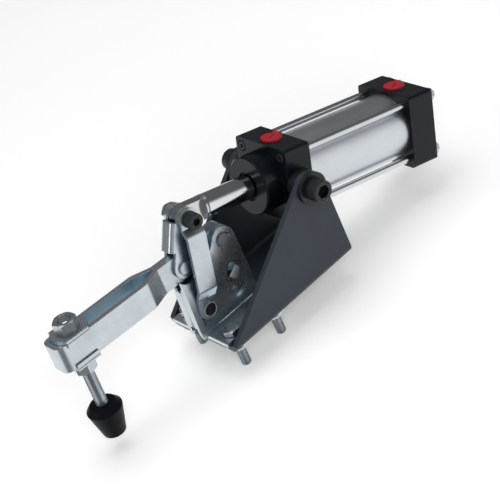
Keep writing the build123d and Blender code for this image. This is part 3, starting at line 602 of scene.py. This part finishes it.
def paper_floor():
    """White paper that reflections don't show, as the surround has its own."""
    mesh = bpy.data.meshes.new("floor")
    half = floor_size / 2
    corners = [(-half, -half), (half, -half), (half, half), (-half, half)]
    mesh.from_pydata([(x, y, floor_height) for x, y in corners], [], [(0, 1, 2, 3)])
    floor = bpy.data.objects.new("floor", mesh)
    scene.collection.objects.link(floor)
    material, tree, shader = new_material("floor_paper")
    fibre = noise(tree, place_coordinates(tree), scale=300.0, detail=2.0)
    paper = (floor_colour,) * 3
    shade = mix_colour(tree, fibre, paper, scaled(paper, floor_fibre_share))
    tree.links.new(shade, shader.inputs["Base Color"])
    shader.inputs["Roughness"].default_value = 0.9
    shader.inputs["Specular IOR Level"].default_value = 0.0
    shader.inputs["Emission Color"].default_value = (1.0, 1.0, 1.0, 1.0)
    seen = seen_by(tree, "Is Camera Ray", "Is Glossy Ray", "Is Transmission Ray")
    lift = remap(tree, seen, 0.0, 1.0, 0.0, floor_lift)
    tree.links.new(lift, shader.inputs["Emission Strength"])
    mesh.materials.append(material)
    floor.visible_glossy = False


def studio():
    """Pale floor and surround, a large key beside the camera, an overhead lamp and a low fill."""
    world()
    paper_floor()
    for name, settings in lamps.items():
        softbox(name, *settings)
    scene.view_settings.view_transform = "Standard"


def finish_piece(name, shape, material, body, slot, *replaced):
    """Puts a bmesh into the scene as a piece that rides on a body."""
    bmesh.ops.remove_doubles(shape, verts=shape.verts, dist=fine_weld)
    bmesh.ops.dissolve_degenerate(shape, edges=shape.edges, dist=fine_weld)
    open_edges = [edge for edge in shape.edges if edge.is_boundary]
    if open_edges:
        bmesh.ops.holes_fill(shape, edges=open_edges, sides=0)
    bmesh.ops.recalc_face_normals(shape, faces=shape.faces)
    mesh = bpy.data.meshes.new(name)
    shape.to_mesh(mesh)
    shape.free()
    mesh.shade_smooth()
    mesh.set_sharp_from_angle(angle=sharp_angle)
    mesh.materials.append(material)
    piece = bpy.data.objects.new(name, mesh)
    scene.collection.objects.link(piece)
    flatten = piece.modifiers.new("weighted", "WEIGHTED_NORMAL")
    flatten.keep_sharp = True
    flatten.weight = 100
    piece.data = evaluated_mesh(piece)
    piece.modifiers.clear()
    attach(piece, body)
    if replaced:
        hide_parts(*replaced)


def evaluated_mesh(piece):
    """An object's mesh with its modifiers applied."""
    bpy.context.view_layer.update()
    graph = bpy.context.evaluated_depsgraph_get()
    return bpy.data.meshes.new_from_object(piece.evaluated_get(graph))


def merge(shape, other):
    """Moves one bmesh into another."""
    mesh = bpy.data.meshes.new("merged")
    other.to_mesh(mesh)
    other.free()
    shape.from_mesh(mesh)
    bpy.data.meshes.remove(mesh)


def islands(node):
    """The separate solids of a node, each as a list of points."""
    shape = bmesh.new()
    shape.from_mesh(node.data)
    bmesh.ops.remove_doubles(shape, verts=shape.verts, dist=weld)
    found = []
    seen = set()
    for start in shape.verts:
        if start in seen:
            continue
        seen.add(start)
        group = [start]
        for vert in group:
            for edge in vert.link_edges:
                other = edge.other_vert(vert)
                if other not in seen:
                    seen.add(other)
                    group.append(other)
        found.append([vert.co.copy() for vert in group])
    shape.free()
    return found


def extent(points, axis):
    """Centres of a round bar's two ends, low and high along an axis."""
    reach = [point.dot(axis) for point in points]
    middle = Vector([(min(p[k] for p in points) + max(p[k] for p in points)) / 2
                     for k in range(3)])
    here = middle.dot(axis)
    return middle + axis * (min(reach) - here), middle + axis * (max(reach) - here)


def stand(point, axis):
    """Place with its origin on a point and its own +Z along an axis."""
    return Matrix.Translation(point) @ axis.to_track_quat("Z", "Y").to_matrix().to_4x4()


def round_point(radius, angle, height):
    """Point at a radius, angle in radians and height."""
    return Vector((radius * cos(angle), radius * sin(angle), height))


def join_rings(shape, rings, closed=True):
    """Quads between each ring of points and the next."""
    for lower, upper in zip(rings, rings[1:]):
        count = len(lower)
        for k in range(count if closed else count - 1):
            j = (k + 1) % count
            shape.faces.new((lower[k], lower[j], upper[j], upper[k]))


def lathe(shape, place, rows, segments, form=None):
    """Turns rows of (radius, height) round a place's Z; a form may change a row by the angle."""
    rings = []
    for row in rows:
        ring = []
        for k in range(segments):
            angle = 2 * pi * k / segments
            r, z = form(*row, angle, k) if form else row
            ring.append(shape.verts.new(place @ round_point(r, angle, z)))
        rings.append(ring)
    join_rings(shape, rings)


def thread(shape, place, root_r, crest_r, pitch, length, chamfer):
    """Helical thread along a place's +Z: rows follow the helix, both ends are chamfered."""
    rings = []
    for turn in range(-1, int(length / pitch) + 2):
        for share, crest in thread_rows:
            ring = []
            for k in range(thread_segments + 1):
                high = (turn + share + k / thread_segments) * pitch
                z = min(max(high, 0.0), length)
                limit = crest_r - chamfer + min(z, length - z)
                r = min(crest_r if crest else root_r, max(limit, root_r * thread_core_share))
                angle = 2 * pi * k / thread_segments
                ring.append(shape.verts.new(place @ round_point(r, angle, z)))
            rings.append(ring)
    join_rings(shape, rings, closed=False)


def hexagon_r(flat, angle):
    """Distance from a hexagon's centre to its side, at an angle."""
    return flat / cos((angle % (pi / 3)) - pi / 6)


def hexagon_form(flat, height, round_r, corner_r):
    """For lathe: rows wider than round_r become a hexagon whose upper corners are turned down."""
    def form(radius, z, angle, k):
        if radius <= round_r:
            return radius, z
        corner = hexagon_r(flat, angle)
        drop = max(corner - corner_r, 0.0) * corner_drop
        return corner, z - drop if z > height / 2 else z

    return form


def hex_head(shape, place, across, height):
    """Chamfered hexagon head on a thin washer face, seated on the place's z = 0."""
    flat = across / 2
    face = head_washer_height * across
    rows = ((flat * head_core_share, 0.0), (flat * head_washer_share, 0.0),
            (flat * head_washer_share, face), (flat, face), (flat, height),
            (flat * hex_top_share, height), (flat * head_core_share, height))
    form = hexagon_form(flat, height, flat * head_round_share, flat * head_corner_share)
    lathe(shape, place, rows, lathe_segments, form)


def base_bolts():
    """Four M8 hex bolts, head up, threaded down to their tips."""
    shape = bmesh.new()
    for points in islands(nodes["base_bolts"]):
        tip, top = extent(points, up)
        seat = top - up * stud_head_height
        hex_head(shape, stand(seat, up), stud_head_across, stud_head_height)
        thread(shape, stand(tip, up), stud_root_r, stud_crest_r, stud_pitch,
               (seat - tip).length + stud_in_head, stud_chamfer)
    finish_piece("base_bolts_threaded", shape, slot_materials["fastener_steel"], "frame",
                 "fastener_steel", "base_bolts")


def spindle():
    """M10 spindle threaded over its whole length."""
    shape = bmesh.new()
    axis = Vector(joints["spindle_height"]["axis"]).normalized()
    low, high = extent(islands(nodes["spindle_bolt"])[0], axis)
    thread(shape, stand(low, axis), spindle_root_r, spindle_crest_r, spindle_pitch,
           (high - low).length, spindle_chamfer)
    finish_piece("spindle_threaded", shape, thread_steel, "spindle", "fastener_steel",
                 "spindle_bolt")


def knurl(shape, place, radius, low, high, teeth):
    """Straight knurl round a screw head: a thin sleeve whose outside is toothed."""
    inner = radius - knurl_sleeve

    def toothed(r, z, angle, k):
        return (r + knurl_height * (k % 2), z) if r >= radius else (r, z)

    rows = ((inner, low), (radius, low), (radius, high), (inner, high), (inner, low))
    lathe(shape, place, rows, 2 * teeth, toothed)


def head_knurls():
    """Knurled sides of the drive screw's and the trunnion screws' heads."""
    left = Vector((0.0, -1.0, 0.0))
    for name, node, body, radius, height, teeth, both_sides in knurled_heads:
        shape = bmesh.new()
        groups = sorted(islands(nodes[node]), key=lambda points: min(p.y for p in points))
        heads = [(groups[0], left)]
        if both_sides:
            heads.append((groups[-1], -left))
        for points, out in heads:
            end = extent(points, out)[1]
            low, high = (height * share for share in knurl_span)
            knurl(shape, stand(end - out * height, out), radius, low, high, teeth)
        finish_piece(name, shape, slot_materials["black_oxide"], body, "black_oxide")


def side_view(side):
    """Place for outlines in x and z with heights from the middle plane, left -1 or right 1."""
    return Matrix(((1, 0, 0, 0), (0, 0, side, 0), (0, 1, 0, 0), (0, 0, 0, 1)))


def cross_view():
    """Place for outlines across and up, with heights along the arm."""
    return Matrix(((0, 0, 1, 0), (1, 0, 0, 0), (0, 1, 0, 0), (0, 0, 0, 1)))


def mirror(side):
    """Mirrors the right side's y to the left for side -1."""
    return Matrix.Diagonal((1, side, 1, 1))


def outwards(x, y, z, side):
    """Place at a point whose own +Z points away from the middle plane."""
    return Matrix.Translation((x, y, z)) @ Matrix.Rotation(radians(-90.0 * side), 4, "X")


def turned_frame(x, z, turn):
    """Place at x and z in the middle plane, turned about Y by an angle in degrees."""
    return Matrix.Translation((x, 0, z)) @ Matrix.Rotation(radians(turn), 4, "Y")


def prism(place, outline, low, high):
    """Solid over an outline in the place's x and y, between two of its heights."""
    shape = bmesh.new()
    rings = [[shape.verts.new(place @ Vector((x, y, z)) * mm) for x, y in outline]
             for z in (low, high)]
    for ring in rings:
        shape.faces.new(ring)
    join_rings(shape, rings)
    return shape


def turned(place, rows):
    """Closed solid of revolution from rows of (radius, height) that close on themselves."""
    shape = bmesh.new()
    angles = [2 * pi * k / ring_segments for k in range(ring_segments)]
    rings = [[shape.verts.new(place @ round_point(r, angle, z) * mm) for angle in angles]
             for r, z in rows]
    join_rings(shape, rings + rings[:1])
    bmesh.ops.remove_doubles(shape, verts=shape.verts, dist=fine_weld)
    return shape


def as_object(shape):
    """A closed bmesh as a loose object for boolean work."""
    bmesh.ops.remove_doubles(shape, verts=shape.verts, dist=weld)
    bmesh.ops.recalc_face_normals(shape, faces=shape.faces)
    mesh = bpy.data.meshes.new("tool")
    shape.to_mesh(mesh)
    shape.free()
    piece = bpy.data.objects.new("tool", mesh)
    scene.collection.objects.link(piece)
    return piece


def carved(shape, steps):
    """A closed bmesh changed by ("UNION" or "DIFFERENCE", closed bmesh) steps in turn."""
    body = as_object(shape)
    tools = []
    for operation, tool in steps:
        tools.append(as_object(tool))
        change = body.modifiers.new(operation.lower(), "BOOLEAN")
        change.operation = operation
        change.solver = "EXACT"
        change.object = tools[-1]
    mesh = evaluated_mesh(body)
    result = bmesh.new()
    result.from_mesh(mesh)
    for piece in [body, *tools]:
        bpy.data.objects.remove(piece)
    bpy.data.meshes.remove(mesh)
    return result


def arc(x, y, radius, start, end, steps=8):
    """Points on an arc, angles in degrees."""
    turns = [radians(start + (end - start) * k / steps) for k in range(steps + 1)]
    return [(x + radius * cos(turn), y + radius * sin(turn)) for turn in turns]


def box_outline(x, y, length, width, turn=0.0):
    """Rectangle about a centre, turned by an angle in degrees."""
    c, n = cos(radians(turn)), sin(radians(turn))
    corners = ((-0.5, -0.5), (0.5, -0.5), (0.5, 0.5), (-0.5, 0.5))
    return [(x + c * length * u - n * width * v, y + n * length * u + c * width * v)
            for u, v in corners]


def lip_steps(side):
    """The plain front lip cut off, the rolled one and its finger put on."""
    front = mirror(side) @ turned_frame(*front_foot, front_lean)
    centre = (lip_bend_r, base_outer_y - lip_bend_r)
    reach = front_strip + overlap
    outside = [(reach, base_outer_y), *arc(*centre, lip_bend_r, 90.0, 180.0)]
    inside = [*arc(*centre, lip_bend_inner_r, 180.0, 90.0), (reach, base_inner_y)]
    inner_end = [(0.0, lip_low_y), (base_outer_y - base_inner_y, lip_low_y)]
    return [
        ("DIFFERENCE", prism(front, box_outline(*lip_cut), -sink, finger_top)),
        ("UNION", prism(front, outside + inner_end + inside, -sink, lip_top)),
        ("UNION", prism(front, outside + inside, lip_top - overlap, finger_top)),
    ]


def window_steps(side):
    """The upright window filled, the slanted one cut, its tongue bent inwards."""
    flat = side_view(side)
    thick = base_outer_y - base_inner_y
    slant = radians(window_turn)
    hinge_x = window_centre[0] + cos(slant) * window_length / 2
    hinge_z = window_centre[1] + sin(slant) * window_length / 2
    hinge = (Matrix.Translation((hinge_x, side * base_outer_y, hinge_z)) @ mirror(side)
             @ Matrix.Rotation(-slant, 4, "Y"))
    run = -tab_length * cos(radians(tab_lean))
    fall = -tab_length * sin(radians(tab_lean))
    left, right = tab_root
    tongue = [(left, -tab_sheet), (right, -tab_sheet), (right, 0.0), (left, 0.0),
              (run, fall), (run, fall - tab_sheet)]
    filling = box_outline(*window_centre, window_length + window_margin,
                          window_width + window_margin, cad_window_turn)
    opening = box_outline(*window_centre, window_length, window_width, window_turn)
    return [
        ("UNION", prism(flat, filling, base_inner_y, base_outer_y)),
        ("DIFFERENCE", prism(flat, opening, base_inner_y - thick, base_outer_y + thick)),
        ("UNION", prism(hinge, tongue, -tab_width / 2, tab_width / 2)),
    ]


def dome_step(side):
    """The pressed dome beside the window, put on."""
    x, z = dome_centre
    rows = [(dome_r * k / dome_rows, dome_height * (cos(pi * k / dome_rows) + 1) / 2 - sink)
            for k in range(dome_rows + 1)]
    foot = [(dome_r, -overlap), (0.0, -overlap)]
    return "UNION", turned(outwards(x, side * base_outer_y, z, side), rows + foot)


def base_half(name, side):
    """A base half with its rolled front lip and finger, pressed dome and lanced window."""
    shape = bmesh.new()
    shape.from_mesh(nodes[name].data)
    steps = [*lip_steps(side), *window_steps(side), dome_step(side)]
    finish_piece(name + "_pressed", carved(shape, steps), slot_materials["zinc"], "frame",
                 "zinc", name)


def link_rings():
    """Turned spacer rings that stand proud of the links on their lower pivot."""
    shape = bmesh.new()
    for points in islands(nodes["link_pivot_rings"]):
        side = 1.0 if points[0].y > 0 else -1.0
        low = extent(points, Vector((0.0, side, 0.0)))[0]
        start = side * low.y / mm
        rows = [(ring_inner_r, start), (ring_outer_r, start),
                (ring_outer_r, ring_proud_y - ring_edge), (ring_outer_r - ring_edge, ring_proud_y),
                (ring_inner_r + ring_edge, ring_proud_y), (ring_inner_r, ring_proud_y - ring_edge)]
        merge(shape, turned(outwards(low.x / mm, 0, low.z / mm, side), rows))
    finish_piece("link_rings_turned", shape, slot_materials["zinc"], "links", "zinc",
                 "link_pivot_rings")


def rod_sockets():
    """Black socket ends of the tie rods, in the front cap's four recesses."""
    shape = bmesh.new()
    rear = Vector(joints["rod_stroke"]["axis"]).normalized()
    flat = socket_across / 2

    def socket(r, z, angle, k):
        return (hexagon_r(flat, angle) * mm, z) if r == flat * mm else (r, z)

    rows = ((0.0, socket_foot), (socket_head_r, socket_foot),
            (socket_head_r, socket_top - socket_edge), (socket_head_r - socket_edge, socket_top),
            (flat, socket_top), (flat, socket_floor), (0.0, socket_floor))
    for points in islands(nodes["tie_rods"]):
        front = extent(points, rear)[0]
        lathe(shape, stand(front, -rear), [(r * mm, z * mm) for r, z in rows], socket_segments,
              socket)
    finish_piece("tie_rod_sockets", shape, slot_materials["black_oxide"], "cylinder",
                 "black_oxide")


def spindle_frame(flip):
    """The spindle's axis on the arm, as seen from above or, flipped, from below."""
    place = turned_frame(*arm_pivot, arm_tilt) @ Matrix.Translation((-spindle_ahead, 0, 0))
    return place @ Matrix.Rotation(pi if flip else 0.0, 4, "X")


def saddle_washer(name, flip):
    """Washer whose flanks are folded down beside the arm, its guide in the slot."""
    place = spindle_frame(flip)
    top = arm_half + washer_sheet
    seat = arm_half + seat_gap
    corner = degrees(asin(arm_half / washer_r))
    half_chord = (washer_r**2 - arm_half**2) ** 0.5
    disc = [*arc(0.0, 0.0, washer_r, -corner, corner, washer_arc_steps),
            *arc(0.0, 0.0, washer_r, 180.0 - corner, 180.0 + corner, washer_arc_steps)]
    inset = [(x * (1 - washer_rim / washer_r), y) for x, y in disc]
    inner_y = arm_half + side_gap
    outer_y = inner_y + washer_fold
    lip_end = arm_half - washer_lip
    low, high, deep = washer_groove
    groove = [(outer_y, arm_half + low - deep), (outer_y - deep, arm_half + low - deep),
              (outer_y - deep, arm_half + high - deep), (outer_y, arm_half + high - deep)]
    shoulder = arc(outer_y - washer_fold_edge, top - washer_fold_edge, washer_fold_edge, 0.0, 90.0)
    right = [(inner_y, lip_end), (outer_y, lip_end), *groove, *shoulder]
    section = [*right, *[(-y, z) for y, z in reversed(right)], (-inner_y, seat), (inner_y, seat)]
    guide = box_outline(0.0, 0.0, 2 * slot_half - side_gap, 2 * slot_half - 2 * side_gap)
    bore = arc(0.0, 0.0, nut_bore_r, 0.0, 360.0, bore_points)[:-1]
    steps = [
        ("UNION", prism(place, inset, top - 2 * washer_rim, top)),
        ("UNION", prism(place @ cross_view(), section, -half_chord, half_chord)),
        ("UNION", prism(place, guide, arm_half - washer_guide, arm_half + overlap)),
        ("DIFFERENCE", prism(place, bore, 0.0, 2 * top)),
    ]
    plate = prism(place, disc, seat, top - washer_rim)
    finish_piece(name + "_folded", carved(plate, steps), slot_materials["zinc"], "carriage",
                 "zinc", name)


def spindle_nuts():
    """Nuts above and below the arm, turned as they were tightened, with countersunk bores."""
    shape = bmesh.new()
    flat = nut_across / 2
    rows = [(nut_bore_r, 0.0), (flat * nut_outer_share, 0.0), (flat * nut_outer_share, nut_height),
            (flat * hex_top_share, nut_height), (nut_bore_r + nut_sink, nut_height),
            (nut_bore_r, nut_height - nut_sink), (nut_bore_r, 0.0)]
    form = hexagon_form(flat * mm, nut_height * mm, flat * mm, flat * nut_corner_share * mm)
    for flip in (False, True):
        place = (spindle_frame(flip) @ Matrix.Translation((0, 0, arm_half + washer_sheet))
                 @ Matrix.Rotation(radians(nut_turn), 4, "Z"))
        place.translation *= mm
        lathe(shape, place, [(r * mm, z * mm) for r, z in rows], lathe_segments, form)
    finish_piece("spindle_nuts_turned", shape, slot_materials["fastener_steel"], "carriage",
                 "fastener_steel", "spindle_nuts")


dress_nodes()
camera()
studio()
base_bolts()
spindle()
head_knurls()
base_half("base_plate_left", -1)
base_half("base_plate_right", 1)
link_rings()
rod_sockets()
saddle_washer("spindle_washer_top", False)
saddle_washer("spindle_washer_bottom", True)
spindle_nuts()
